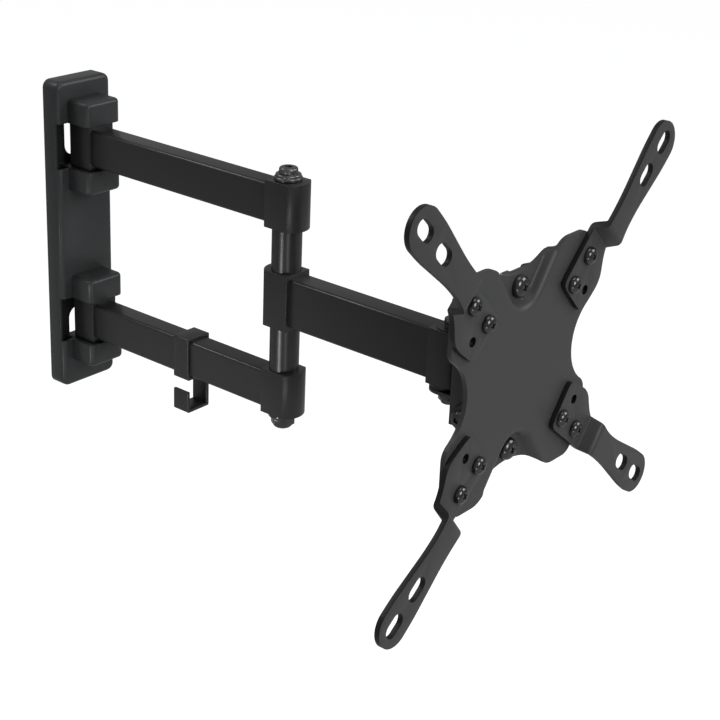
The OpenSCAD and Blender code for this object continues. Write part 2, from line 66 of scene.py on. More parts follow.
def makeCamera():
    v = viewOfPhoto
    az, el, roll = (math.radians(v[k]) for k in ("azimuth", "elevation", "roll"))
    back = Vector((math.sin(az) * math.cos(el), -math.cos(az) * math.cos(el), math.sin(el)))
    right = Vector((math.cos(az), math.sin(az), 0))
    up = back.cross(right)
    sideways = right * math.cos(roll) + up * math.sin(roll)
    upwards = up * math.cos(roll) - right * math.sin(roll)
    data = bpy.data.cameras.new("photoCamera")
    data.lens, data.sensor_width = v["lens"], v["sensor"]
    data.shift_x, data.shift_y = v["shift"]
    data.clip_start, data.clip_end = v["clip"]
    camera = newObject("photoCamera", data)
    turn = Matrix((sideways, upwards, back)).transposed().to_4x4()
    camera.matrix_world = Matrix.Translation(Vector(v["target"]) + back * v["distance"]) @ turn
    bpy.context.scene.camera = camera


makeCamera()


def newGroup(name, inputs, outputs):
    group = bpy.data.node_groups.new(name, "ShaderNodeTree")
    for label, kind, value in inputs:
        socket = group.interface.new_socket(name=label, in_out="INPUT", socket_type=kind)
        socket.default_value = value
    for label, kind in outputs:
        group.interface.new_socket(name=label, in_out="OUTPUT", socket_type=kind)
    return group, group.nodes.new("NodeGroupInput"), group.nodes.new("NodeGroupOutput")


def plug(tree, value, socket):
    # a number is set, an output is linked
    if isinstance(value, (int, float)):
        socket.default_value = value
    else:
        tree.links.new(value, socket)


def mathNode(tree, kind, a, b, clamp=False):
    node = tree.nodes.new("ShaderNodeMath")
    node.operation = kind
    node.use_clamp = clamp
    plug(tree, a, node.inputs[0])
    plug(tree, b, node.inputs[1])
    return node.outputs[0]


def mixColour(tree, mask, a, b):
    node = tree.nodes.new("ShaderNodeMix")
    node.data_type = "RGBA"
    for value, socket in ((mask, node.inputs["Factor"]), (a, node.inputs[6]), (b, node.inputs[7])):
        tree.links.new(value, socket)
    return node.outputs[2]


def noiseOf(tree, coordinates, scale, detail, roughness):
    node = tree.nodes.new("ShaderNodeTexNoise")
    tree.links.new(coordinates, node.inputs["Vector"])
    plug(tree, scale, node.inputs["Scale"])
    node.inputs["Detail"].default_value = detail
    node.inputs["Roughness"].default_value = roughness
    return node.outputs["Fac"]


# a sprayed coat's orange peel, cloudy tone and light scuffs; noises as scale, detail, roughness
coat = {
    "grain": (3.0, 0.6), "cloud": (22.0, 3.0, 0.5), "scuff": (420.0, 5.0, 0.65),
    "scuffFrom": 0.58, "scuffSharpness": 6.0, "tone": 0.96, "toneSwing": 0.08,
    "cloudMean": 0.5, "roughSwing": 0.08, "scuffShine": 0.1, "bumpHeight": 0.0001,
}


def makeCoatGroup():
    c = coat
    group, enter, leave = newGroup(
        "sprayedCoat",
        [("Base", "NodeSocketColor", (0.05, 0.05, 0.05, 1)),
         ("Worn", "NodeSocketColor", (0.2, 0.2, 0.2, 1)),
         ("Grain", "NodeSocketFloat", 2200.0), ("Gloss", "NodeSocketFloat", 0.45),
         ("Wear", "NodeSocketFloat", 0.5)],
        [("Color", "NodeSocketColor"), ("Roughness", "NodeSocketFloat"),
         ("Height", "NodeSocketFloat")])
    place = group.nodes.new("ShaderNodeTexCoord").outputs["Object"]
    grain = noiseOf(group, place, enter.outputs["Grain"], *c["grain"])
    cloud = noiseOf(group, place, *c["cloud"])
    scuff = noiseOf(group, place, *c["scuff"])
    rubbed = mathNode(group, "SUBTRACT", scuff, c["scuffFrom"])
    rubbed = mathNode(group, "MULTIPLY", rubbed, c["scuffSharpness"], True)
    rubbed = mathNode(group, "MULTIPLY", rubbed, enter.outputs["Wear"], True)
    tone = mathNode(group, "ADD", c["tone"], mathNode(group, "MULTIPLY", cloud, c["toneSwing"]))
    shade = group.nodes.new("ShaderNodeHueSaturation")
    group.links.new(enter.outputs["Base"], shade.inputs["Color"])
    group.links.new(tone, shade.inputs["Value"])
    colour = mixColour(group, rubbed, shade.outputs["Color"], enter.outputs["Worn"])
    swing = mathNode(group, "SUBTRACT", cloud, c["cloudMean"])
    swing = mathNode(group, "MULTIPLY", swing, c["roughSwing"])
    shine = mathNode(group, "MULTIPLY", rubbed, c["scuffShine"])
    rough = mathNode(group, "ADD", enter.outputs["Gloss"], swing)
    rough = mathNode(group, "SUBTRACT", rough, shine)
    for value, label in ((colour, "Color"), (rough, "Roughness"), (grain, "Height")):
        group.links.new(value, leave.inputs[label])
    return group


coatGroup = makeCoatGroup()


def coatMaterial(name, look):
    material = bpy.data.materials.new(name)
    material.use_nodes = True
    tree = material.node_tree
    shader = tree.nodes["Principled BSDF"]
    sprayed = tree.nodes.new("ShaderNodeGroup")
    sprayed.node_tree = coatGroup
    sprayed.inputs["Base"].default_value = (*look["base"], 1)
    sprayed.inputs["Worn"].default_value = (*look["worn"], 1)
    sprayed.inputs["Grain"].default_value = look["grain"]
    sprayed.inputs["Gloss"].default_value = look["roughness"]
    sprayed.inputs["Wear"].default_value = look["wear"]
    bump = tree.nodes.new("ShaderNodeBump")
    bump.inputs["Strength"].default_value = look["bump"]
    bump.inputs["Distance"].default_value = coat["bumpHeight"]
    tree.links.new(sprayed.outputs["Color"], shader.inputs["Base Color"])
    tree.links.new(sprayed.outputs["Roughness"], shader.inputs["Roughness"])
    tree.links.new(sprayed.outputs["Height"], bump.inputs["Height"])
    tree.links.new(bump.outputs["Normal"], shader.inputs["Normal"])
    shader.inputs["Metallic"].default_value = look["metallic"]
    shader.inputs["Specular IOR Level"].default_value = look["specular"]
    return material


finishes = {
    "plate powder coat": {
        "base": (0.053, 0.0535, 0.053), "worn": (0.07, 0.07, 0.07), "grain": 2600.0,
        "roughness": 0.44, "wear": 0.25, "bump": 0.14, "metallic": 0.0, "specular": 0.3},
    "arm powder coat": {
        "base": (0.022, 0.023, 0.0215), "worn": (0.04, 0.04, 0.038), "grain": 2400.0,
        "roughness": 0.31, "wear": 0.25, "bump": 0.12, "metallic": 0.0, "specular": 0.35},
    "cover plastic": {
        "base": (0.04, 0.042, 0.043), "worn": (0.05, 0.05, 0.05), "grain": 3600.0,
        "roughness": 0.36, "wear": 0.2, "bump": 0.18, "metallic": 0.0, "specular": 0.3},
    "bush plastic": {
        "base": (0.012, 0.012, 0.012), "worn": (0.03, 0.03, 0.03), "grain": 3000.0,
        "roughness": 0.4, "wear": 0.2, "bump": 0.1, "metallic": 0.0, "specular": 0.4},
    "black bracket coat": {
        "base": (0.013, 0.013, 0.013), "worn": (0.03, 0.03, 0.03), "grain": 2400.0,
        "roughness": 0.38, "wear": 0.25, "bump": 0.1, "metallic": 0.0, "specular": 0.45},
    "black fasteners": {
        "base": (0.075, 0.075, 0.078), "worn": (0.12, 0.12, 0.12), "grain": 1500.0,
        "roughness": 0.17, "wear": 0.3, "bump": 0.02, "metallic": 0.9, "specular": 0.5},
}
finishes["satin fasteners"] = dict(
    finishes["black fasteners"], base=(0.13, 0.13, 0.132), roughness=0.3)

# a finish has four materials: plain, a lighter one on broken edges as painted highlight, a darker
# one inside small holes as painted shade and a darker one on cut sides as painted shade
highlightEdgeFace, shadedHoleFace, shadedSideFace = 1, 2, 3
# painted highlight: broken edges drawn lighter than the coat, and a little smoother
edgeHighlightLook = {"tone": 2.1, "smoother": 0.06}
# painted shade inside small holes
holeShadeLook = {"tone": 0.12, "specular": 0.1}
# painted shade on the sheet's cut sides
sideShadeLook = {"tone": 0.3, "specular": 0.2}
materials = {}


def toned(look, share, **changes):
    return dict(look, base=tuple(share * v for v in look["base"]), **changes)


for name, look in finishes.items():
    # painted highlight: the edge copy is lighter
    edge = toned(look, edgeHighlightLook["tone"], roughness=look["roughness"] - edgeHighlightLook["smoother"])
    # painted shade: the hole copy is darker
    hole = toned(look, holeShadeLook["tone"], worn=look["base"], specular=holeShadeLook["specular"])
    # painted shade: the side copy is darker
    cut = toned(look, sideShadeLook["tone"], specular=sideShadeLook["specular"])
    looks = (("", look), ("_edge", edge), ("_hole", hole), ("_cut", cut))
    materials[name] = [coatMaterial(name.replace(" ", "_") + end, one) for end, one in looks]
print("materials ready:", len(materials))


def onlySelect(obj):
    if bpy.context.object and bpy.context.object.mode != "OBJECT":
        bpy.ops.object.mode_set(mode="OBJECT")
    bpy.ops.object.select_all(action="DESELECT")
    obj.select_set(True)
    bpy.context.view_layer.objects.active = obj


def editWhole(obj, work):
    # the work is done in edit mode with all of the mesh selected
    onlySelect(obj)
    bpy.ops.object.mode_set(mode="EDIT")
    bpy.ops.mesh.select_all(action="SELECT")
    work()
    bpy.ops.object.mode_set(mode="OBJECT")


def faceOutward(obj):
    editWhole(obj, lambda: bpy.ops.mesh.normals_make_consistent(inside=False))


def applyPlace():
    bpy.ops.object.transform_apply(location=True, rotation=True, scale=True)


def applyAll(obj):
    onlySelect(obj)
    for modifier in list(obj.modifiers):
        bpy.ops.object.modifier_apply(modifier=modifier.name)


def settle(obj, angle=35):
    # place goes into the mesh, shading by angle
    onlySelect(obj)
    applyPlace()
    bpy.ops.object.shade_smooth_by_angle(angle=math.radians(angle))


def bevelWhere(obj, chosen, width, segments):
    # rounds the edges whose two ends, in mm, the test accepts
    onlySelect(obj)
    bpy.context.tool_settings.mesh_select_mode = (False, True, False)
    bpy.ops.object.mode_set(mode="EDIT")
    bpy.ops.mesh.select_all(action="DESELECT")
    bpy.ops.object.mode_set(mode="OBJECT")
    place = [v.co / mm for v in obj.data.vertices]
    for edge in obj.data.edges:
        edge.select = chosen(place[edge.vertices[0]], place[edge.vertices[1]])
    bpy.ops.object.mode_set(mode="EDIT")
    bpy.ops.mesh.bevel(offset=width * mm, offset_type="OFFSET", segments=segments, profile=0.5)
    bpy.ops.object.mode_set(mode="OBJECT")


def box(name, low, high):
    bpy.ops.object.select_all(action="DESELECT")
    middle = [(a + b) / 2 * mm for a, b in zip(low, high)]
    bpy.ops.mesh.primitive_cube_add(size=1, location=middle)
    piece = bpy.context.object
    piece.name = name
    piece.scale = [(b - a) * mm for a, b in zip(low, high)]
    applyPlace()
    return piece


def disc(name, x, y, low, high, radius, sides=56):
    bpy.ops.object.select_all(action="DESELECT")
    bpy.ops.mesh.primitive_cylinder_add(
        vertices=sides, radius=radius * mm, depth=(high - low) * mm,
        location=(x * mm, y * mm, (low + high) / 2 * mm))
    piece = bpy.context.object
    piece.name = name
    applyPlace()
    return piece


def along(axis, p, q):
    return all(abs(p[i] - q[i]) < slack for i in range(3) if i != axis)


def cutBy(piece, cutter, operation="DIFFERENCE"):
    boolean = piece.modifiers.new(operation.lower(), "BOOLEAN")
    boolean.object = cutter
    boolean.operation = operation
    boolean.solver = "EXACT"
    applyAll(piece)
    bpy.data.objects.remove(cutter)


def breakEdges(piece, width, segments=2, angle=50, face=highlightEdgeFace):
    # the bevel's faces take the given material, by default the lighter edge one: a painted
    # highlight
    bevel = piece.modifiers.new("edge", "BEVEL")
    bevel.width = width * mm
    bevel.segments = segments
    bevel.limit_method = "ANGLE"
    bevel.angle_limit = math.radians(angle)
    bevel.material = face
    applyAll(piece)


def cleanCopy(name, node):
    # a CAD node's mesh with its flat faces in one piece
    piece = newObject(name, nodes[node].data.copy())

    def clean():
        bpy.ops.mesh.remove_doubles(threshold=2e-6)
        bpy.ops.mesh.dissolve_limited(angle_limit=math.radians(1.5))

    editWhole(piece, clean)
    return piece


dressed = set()


def dress(obj, node, hide=True, finish=None):
    obj.data.materials.clear()
    for material in materials[finish or slotOf[node]]:
        obj.data.materials.append(material)
    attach(obj, bodyOf[node])
    if hide:
        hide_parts(node)
        dressed.add(node)


# edges broken as on the real pieces: width in mm for each node
brokenEdges = {
    "upper_arm_wall_knuckle": 0.7, "upper_arm_elbow_knuckle": 0.7, "lower_arm_wall_knuckle": 0.7,
    "lower_arm_elbow_knuckle": 0.7, "forearm_elbow_knuckle": 0.7, "forearm_head_sleeve": 0.7,
    "upper_arm_tube": 0.2, "lower_arm_tube": 0.2, "forearm_tube": 0.2, "wall_plate": 0.3,
    "cable_clip": 0.25, "tilt_bracket": 0.35,
    "elbow_bottom_washer": 0.6, "elbow_cap_nut": 0.5,
    "swivel_nut": 0.3, "tilt_bolt": 0.25, "tilt_nut": 0.3, "hinge_bolts": 0.3, "hinge_nuts": 0.3,
    "arm_nuts": 0.25, "pocket_nuts": 0.3,
}
for node, width in brokenEdges.items():
    piece = cleanCopy(node + "_soft", node)
    breakEdges(piece, width, 3, 38)
    settle(piece)
    dress(piece, node)
print("edges broken on", len(brokenEdges), "pieces")

# wall cover and hinge caps, with their moulded corners
cover = {
    "half": 21.0, "deep": 13.0, "up": 98.0, "wall": 2.0, "corner": 5.0, "front": 3.0,
    "hinges": (58.5, -53.0), "gap": 14.0, "notch": 10.0, "cutter": (40, 30), "edge": 0.35,
}
cap = {
    "half": 13.3, "front": 30.5, "tall": 14.5, "wall": 1.8, "upright": 3.8, "brow": 2.4,
    "inside": 2.3, "edge": 0.3,
}


def makeCover():
    c = cover
    half, deep, up, wall = c["half"], c["deep"], c["up"], c["wall"]
    piece = box("moulded_wall_cover", (-half, -deep, -up), (half, 0, up))
    bevelWhere(piece, lambda p, q: along(1, p, q), c["corner"], 8)
    bevelWhere(piece, lambda p, q: max(p.y, q.y) < slack - deep, c["front"], 6)
    hollow = box("hollow", (wall - half, wall - deep, wall - up), (half - wall, 1, up - wall))
    bevelWhere(hollow, lambda p, q: along(1, p, q), c["corner"] - wall, 6)
    cutBy(piece, hollow)
    aside, ahead = c["cutter"]
    windows = ((aside, c["gap"]),
               (cap["half"] - cap["wall"], c["gap"] + cap["tall"] - cap["wall"]))
    for z in c["hinges"]:
        for wide, tall in windows:
            window = box("window", (-wide, -ahead, z - tall), (wide, -c["notch"], z + tall))
            cutBy(piece, window)
    breakEdges(piece, c["edge"])
    settle(piece, 40)
    dress(piece, "wall_cover")


def makeCap(name, z, side, node):
    # side 1 above the hinge's gap, -1 below it
    k = cap
    half, front, wall, back = k["half"], k["front"], k["wall"], cover["deep"]
    outer = z + side * k["tall"]
    low, high = sorted((z, outer))
    piece = box(name, (-half, -front, low), (half, -back, high))
    bevelWhere(piece, lambda p, q: along(2, p, q) and p.y < slack - front, k["upright"], 8)
    bevelWhere(piece, lambda p, q: max(abs(p.z - outer), abs(q.z - outer)) < slack
               and min(p.y, q.y) < -back - slack, k["brow"], 6)
    low, high = sorted((z - side, outer - side * wall))
    hollow = box("hollow", (wall - half, wall - front, low), (half - wall, 1 - back, high))
    bevelWhere(hollow, lambda p, q: along(2, p, q) and p.y < wall - front + slack, k["inside"], 6)
    cutBy(piece, hollow)
    breakEdges(piece, k["edge"])
    settle(piece, 40)
    dress(piece, node)


makeCover()
for hinge, z in zip(("upper", "lower"), cover["hinges"]):
    makeCap(hinge + "_top_moulded_cap", z + cover["gap"], 1, hinge + "_hinge_top_cap")
    makeCap(hinge + "_bottom_moulded_cap", z - cover["gap"], -1, hinge + "_hinge_bottom_cap")
print("cover and caps moulded")

# swivel bracket, its spacer and its bolt; an ear is its radius and how far back its end lies
head = {
    "y": -293.5, "fork": -303.8, "clear": (20, 30, 40), "edge": 0.35,
    "earTop": (19.5, 21.5), "earLow": (-16.9, -14.8), "topEar": (6.5, -2.5), "lowEar": (8.6, 2.6),
    "sleeve": -12.5, "spacerInset": 0.3, "spacerEdge": 0.2,
    "bolt": 4.0, "boltPast": 6.5, "boltHead": (4.7, 2.4), "socket": (2.4, 0.5), "boltEdge": 0.3,
}
overlap = 0.2   # mm that joined solids share


def makeEar(piece, heights, radius, back):
    h = head
    low, high = heights
    ear = disc("ear", 0, h["y"] + back, low, high, radius)
    root = box("earRoot", (-radius, h["fork"] - 1, low), (radius, h["y"] + back, high))
    cutBy(ear, root, "UNION")
    cutBy(piece, ear, "UNION")


def makeSwivelBracket():
    h = head
    aside, back, tall = h["clear"]
    piece = cleanCopy("swivel_bracket_bent", "swivel_bracket")
    cutBy(piece, box("clear", (-aside, h["fork"], -tall), (aside, h["y"] + back, tall)))
    makeEar(piece, h["earTop"], *h["topEar"])
    makeEar(piece, h["earLow"], *h["lowEar"])
    breakEdges(piece, h["edge"], 3)
    settle(piece)
    dress(piece, "swivel_bracket")


def makeSwivelSpacer():
    h = head
    radius, back = h["lowEar"]
    piece = disc("swivel_spacer_block", 0, h["y"] + back, h["earLow"][1], h["sleeve"],
                 radius - h["spacerInset"])
    breakEdges(piece, h["spacerEdge"])
    settle(piece)
    dress(piece, "swivel_spacer")


def makeSwivelBolt():
    h = head
    seat = h["earTop"][1]
    radius, tall = h["boltHead"]
    socket, floor = h["socket"]
    end = h["earLow"][0] - h["boltPast"]
    piece = disc("swivel_bolt_socket", 0, h["y"], seat, seat + tall, radius)
    cutBy(piece, disc("socket", 0, h["y"], seat + floor, seat + tall + 1, socket, 6))
    cutBy(piece, disc("shank", 0, h["y"], end, seat + overlap, h["bolt"]), "UNION")
    breakEdges(piece, h["boltEdge"], 3)
    settle(piece)
    dress(piece, "swivel_bolt")


makeSwivelBracket()
makeSwivelSpacer()
makeSwivelBolt()
print("swivel head built")

# the pressed screen plate, drawn in (u, v, n): right, up and towards the screen
plate = {
    "y": -338.5, "z": 7.5, "thick": 2.5, "front": -1.5, "sheet": (63.5, 65.2), "grid": (156, 160),
    "half": 61.5, "up": 63.4, "cut": (50, 51.4), "corner": 9.0, "dipCorner": 15.0,
    "waist": 46.0, "sideArc": 26.0, "dip": 12.0, "dipArc": 46.0,
    "depth": 5.5, "wellAt": 49.0, "wellArc": 12.0, "wellOut": (22.0, 59.0), "wellEnd": 75,
    "wallAngle": 71.0, "rim": 4.0, "foot": 0.9,
    "screwPocket": 44.5, "pocketHole": 3.1, "cutter": (-20, 30), "drill": (-4, 30),
}
cornerScrews = {"inner": 75 / math.sqrt(2), "outer": 100 / math.sqrt(2), "lean": 7.0, "hole": 2.6}
cornerHoles = ((cornerScrews["inner"], 0), (cornerScrews["outer"], 0),
               (cornerScrews["inner"] + 3.9, 12.4))
corners = [(su, sv) for su in (-1, 1) for sv in (-1, 1)]


def platePoint(u, v, n):
    return Vector((u, plate["y"] - n, plate["z"] + v)) * mm


def cornerPoint(su, sv, a, b):
    # from a screen arm's own axes to the plate's
    lean = math.radians(cornerScrews["lean"]) if sv < 0 else 0.0
    da = a - cornerScrews["inner"]
    a, b = (cornerScrews["inner"] + da * math.cos(lean) - b * math.sin(lean),
            da * math.sin(lean) + b * math.cos(lean))
    return su * (a + b) / math.sqrt(2), sv * (a - b) / math.sqrt(2)


def arc(centre, radius, start, end, steps):
    turn = [math.radians(start + (end - start) * i / steps) for i in range(steps + 1)]
    return [(centre[0] + radius * math.cos(t), centre[1] + radius * math.sin(t)) for t in turn]


def plateOutline():
    # a quarter from the dip at the top to the waist at the side, then its mirror images
    q = plate
    r, up, half = q["corner"], q["up"], q["half"]
    cu, cv = q["cut"]
    soft = q["dipCorner"]
    dipCentre = (0, up - q["dip"] + q["dipArc"])
    dipRound = (math.sqrt((q["dipArc"] + soft) ** 2 - (dipCentre[1] - up + soft) ** 2), up - soft)
    sideCentre = (q["waist"] + q["sideArc"], 0)
    sideRound = (half - r, math.sqrt((q["sideArc"] + r) ** 2 - (sideCentre[0] - half + r) ** 2))
    toDip = math.degrees(math.atan2(dipCentre[1] - dipRound[1], -dipRound[0]))
    toSide = math.degrees(math.atan2(-sideRound[1], sideCentre[0] - sideRound[0]))
    slant = math.degrees(math.atan2(half - cu, up - cv))
    bend = math.tan(math.radians(90 - slant) / 2) * r
    low = math.tan(math.radians(slant) / 2) * r
    quarter = arc(dipCentre, q["dipArc"], -90, toDip - 180, 14)
    quarter += arc(dipRound, soft, toDip, 90, 10)
    quarter += arc((cu - bend, up - r), r, 90, slant, 8)
    quarter += arc((half - r, cv - low), r, slant, 0, 8)
    quarter += arc(sideRound, r, 0, toSide, 10)
    quarter += arc(sideCentre, q["sideArc"], toSide + 180, 180, 12)
    ring = quarter + [(u, -v) for u, v in reversed(quarter)]
    ring += [(-u, -v) for u, v in quarter] + [(-u, v) for u, v in reversed(quarter)]
    kept = []
    for point in ring:
        if not kept or math.dist(point, kept[-1]) > 2 * slack:
            kept.append(point)
    return kept if math.dist(kept[0], kept[-1]) > 2 * slack else kept[:-1]


def wellOutline():
    # floor of a pocket: a round end that opens towards the plate's edge
    q = plate
    centre, outU, outV = (0, q["wellAt"]), *q["wellOut"]
    out = math.dist(centre, q["wellOut"])
    toward = math.atan2(outV - q["wellAt"], outU)
    touch = math.degrees(toward - math.acos(q["wellArc"] / out))
    right = arc(centre, q["wellArc"], -90, touch, 16) + [(outU, outV), (outU, q["wellEnd"])]
    return [(-u, v) for u, v in reversed(right[1:])] + right


def distanceOutside(u, v, ring):
    # distance of each point to a closed ring, zero inside it
    ring = np.array(ring)
    best = np.full(u.shape, 1e9)
    inside = np.ones(u.shape, bool)
    for (ax, ay), (bx, by) in zip(ring, np.roll(ring, -1, axis=0)):
        ex, ey = bx - ax, by - ay
        t = np.clip(((u - ax) * ex + (v - ay) * ey) / (ex * ex + ey * ey), 0, 1)
        best = np.minimum(best, np.hypot(u - ax - t * ex, v - ay - t * ey))
        inside &= (ex * (v - ay) - ey * (u - ax)) >= 0
    return np.where(inside, 0, best)


def pressedDepth(d):
    # depth below the plate's face at a distance from the pocket's floor
    q = plate
    steep = math.radians(q["wallAngle"])
    footRun, footRise = q["foot"] * math.sin(steep), q["foot"] * (1 - math.cos(steep))
    rimRun, rimRise = q["rim"] * math.sin(steep), q["rim"] * (1 - math.cos(steep))
    wallRun = (q["depth"] - footRise - rimRise) / math.tan(steep)
    fromRim = np.clip(footRun + wallRun + rimRun - d, 0, rimRun)
    foot = q["foot"] - np.sqrt(np.maximum(q["foot"] ** 2 - np.minimum(d, footRun) ** 2, 0))
    wall = footRise + (d - footRun) * math.tan(steep)
    rim = q["depth"] - q["rim"] + np.sqrt(np.maximum(q["rim"] ** 2 - fromRim ** 2, 0))
    rise = np.where(d < footRun, foot, np.where(d < footRun + wallRun, wall, rim))
    return q["depth"] - rise


def prismFrom(name, points, move):
    # a flat ring of points, extruded
    mesh = bpy.data.meshes.new(name)
    mesh.from_pydata(points, [], [range(len(points))])
    prism = newObject(name, mesh)
    way = {"value": move}
    editWhole(prism, lambda: bpy.ops.mesh.extrude_region_move(TRANSFORM_OT_translate=way))
    faceOutward(prism)
    return prism


def paintHoleShade(piece, holes):
    # painted shade: the inside of each hole, given as (u, v, radius), takes the darker hole
    # material
    for face in piece.data.polygons:
        u, v = face.center.x / mm, face.center.z / mm - plate["z"]
        within = any(math.dist((u, v), (hu, hv)) < r + 0.05 for hu, hv, r in holes)
        if within and abs(face.normal.y) < 0.3:
            face.material_index = shadedHoleFace


def drillPlate(piece, holes):
    middle, depth = plate["drill"]
    drills = []
    for u, v, radius in holes:
        bpy.ops.mesh.primitive_cylinder_add(
            vertices=40, radius=radius * mm, depth=depth * mm,
            location=platePoint(u, v, middle), rotation=(math.pi / 2, 0, 0))
        drills.append(bpy.context.object)
    bpy.ops.object.select_all(action="DESELECT")
    for drill in drills:
        drill.select_set(True)
    bpy.context.view_layer.objects.active = drills[0]
    bpy.ops.object.join()
    cutBy(piece, drills[0])


def makePlate():
    q = plate
    bpy.ops.object.select_all(action="DESELECT")
    bpy.ops.mesh.primitive_grid_add(
        x_subdivisions=q["grid"][0], y_subdivisions=q["grid"][1], size=2,
        location=(0, 0, 0), rotation=(math.pi / 2, 0, 0))
    piece = bpy.context.object
    piece.name = "pressed_screen_plate"
    piece.scale = (q["sheet"][0] * mm, q["sheet"][1] * mm, 1)
    applyPlace()
    place = np.empty(len(piece.data.vertices) * 3)
    piece.data.vertices.foreach_get("co", place)
    place = place.reshape(-1, 3)
    u, v = place[:, 0] / mm, place[:, 2] / mm
    n = q["front"] - pressedDepth(distanceOutside(u, np.abs(v), wellOutline()))
    pressed = np.stack([u, q["y"] - n, q["z"] + v], 1)
    piece.data.vertices.foreach_set("co", pressed.ravel() * mm)
    sheet = piece.modifiers.new("sheet", "SOLIDIFY")
    sheet.thickness = q["thick"] * mm
    sheet.offset = -1
    sheet.use_even_offset = True
    applyAll(piece)
    start, reach = q["cutter"]
    shape = [platePoint(u, v, start) for u, v in plateOutline()]
    cutBy(piece, prismFrom("plateShape", shape, (0, -reach * mm, 0)), "INTERSECT")
    holes = [(0, s * q["screwPocket"], q["pocketHole"]) for s in (-1, 1)]
    for su, sv in corners:
        for a, b in cornerHoles:
            holes.append((*cornerPoint(su, sv, a, b), cornerScrews["hole"]))
    drillPlate(piece, holes)
    settle(piece, 40)
    dress(piece, "screen_plate")
    # painted shade in the plate's corner holes
    paintHoleShade(piece, holes[2:])


makePlate()
print("plate pressed")

# screen arms: a stepped sheet cut to a paddle, a waist and a round tip
screenArm = {
    "half": 1.5, "joggle": 7.8, "step": (82.4, 85.4), "backLater": 3.2, "outerBend": 3.6,
    "innerBend": 0.8, "start": 40, "end": 170.0, "sheet": 60, "edge": 0.35, "rounding": 2.4,
    "slots": (143.5, 122.9), "slotRun": 5.0, "slotRadius": 4.25, "tip": 11.5,
    "shapeCutter": (-5, 20), "slotCutter": (2, 14), "drill": (-6, 6),
    "paddle": [(50, -7.6), (47.6, -5.5), (47, 16.5), (47.8, 18.6), (50, 19.7), (59, 20.8),
               (65, 21.2), (70, 19.8), (74.5, 16.2), (79, 12.9), (84, 10.6), (90, 9.0),
               (97, 8.0), (107, 8.2), (121, 9.8), (133, 11.2)],
    "under": [(133, -11.2), (121, -9.8), (107, -8.2), (97, -7.7), (88, -7.9)],
}


def softRing(ring, limit, times):
    # cuts each corner a little, again and again
    for _ in range(times):
        cutRing = []
        for i, p in enumerate(ring):
            q = ring[(i + 1) % len(ring)]
            share = min(0.25, limit / math.dist(p, q))
            for t in (share, 1 - share):
                cutRing.append((p[0] + (q[0] - p[0]) * t, p[1] + (q[1] - p[1]) * t))
        ring, limit = cutRing, limit / 2
    return ring


def bentLine(points, radii, steps=7):
    # the line's corners rounded by their radii
    line = [points[0]]
    for before, here, after, radius in zip(points, points[1:], points[2:], radii):
        corner = Vector(here)
        into = (corner - Vector(before)).normalized()
        out = (Vector(after) - corner).normalized()
        run = radius * math.tan(into.angle(out) / 2)
        start, end = corner - into * run, corner + out * run
        for i in range(steps + 1):
            t = i / steps
            line.append(tuple(start * (1 - t) ** 2 + corner * (2 * t * (1 - t)) + end * t ** 2))
    return line + [points[-1]]


def makeArmPattern():
    # drawn along its own axes (a, b, n)
    w = screenArm
    low, high, rise = -w["half"], w["half"], w["joggle"]
    first, last = w["step"]
    later = w["backLater"]
    back = bentLine([(w["start"], low), (first + later, low), (last + later, low + rise),
                     (w["end"], low + rise)], (w["outerBend"], w["innerBend"]))
    front = bentLine([(w["start"], high), (first, high), (last, high + rise),
                      (w["end"], high + rise)], (w["innerBend"], w["outerBend"]))
    side = [Vector((a, -w["sheet"] / 2, n)) * mm for a, n in back + front[::-1]]
    arm = prismFrom("armPattern", side, (0, w["sheet"] * mm, 0))
    ring = w["paddle"] + arc((w["slots"][0], 0), w["tip"], 90, -90, 18) + w["under"]
    start, tall = w["shapeCutter"]
    ring = [Vector((a, b, start)) * mm for a, b in softRing(ring, w["rounding"], 2)]
    cutBy(arm, prismFrom("paddle", ring, (0, 0, tall * mm)), "INTERSECT")
    radius, reach = w["slotRadius"], w["slotRun"] / 2
    start, tall = w["slotCutter"]
    for a in w["slots"]:
        slot = arc((a + reach, 0), radius, -90, 90, 16) + arc((a - reach, 0), radius, 90, 270, 16)
        slot = [Vector((x, y, start)) * mm for x, y in slot]
        cutBy(arm, prismFrom("slot", slot, (0, 0, tall * mm)))
    for a, b in cornerHoles:
        cutBy(arm, disc("drill", a, b, *w["drill"], cornerScrews["hole"], 32))
    breakEdges(arm, w["edge"], 3, 38)
    return arm


def makeArms():
    pattern = makeArmPattern()
    for sv, height in ((1, "top"), (-1, "bottom")):
        for su, side in ((-1, "left"), (1, "right")):
            node = height + "_" + side + "_screen_arm"
            arm = newObject(node + "_bent", pattern.data.copy())
            for vertex in arm.data.vertices:
                a, b, n = vertex.co / mm
                vertex.co = platePoint(*cornerPoint(su, sv, a, b), n)
            faceOutward(arm)
            settle(arm)
            dress(arm, node)
            # painted shade: the arms' side walls take the darker material
            for face in arm.data.polygons:
                if abs(face.normal.y) < 0.2 and face.material_index == 0:
                    face.material_index = shadedSideFace
            # painted shade in the arm's spare hole
            paintHoleShade(arm, [(*cornerPoint(su, sv, *cornerHoles[2]), cornerScrews["hole"])])
    bpy.data.objects.remove(pattern)


makeArms()
print("screen arms bent")

# head of the elbow bolt and its upper washer, as (radius, height); edges as (width, steps)
elbowTop = {
    "y": -178.0, "z": 72.0, "end": -75.0, "shank": 4.0, "play": 0.05,
    "washer": (7.9, 2.3), "flange": (7.2, 1.5), "head": (5.3, 3.6), "socket": (2.4, 1.3),
    "washerEdge": (0.7, 4), "flangeEdge": (0.7, 4), "crownEdge": (1.3, 5),
}


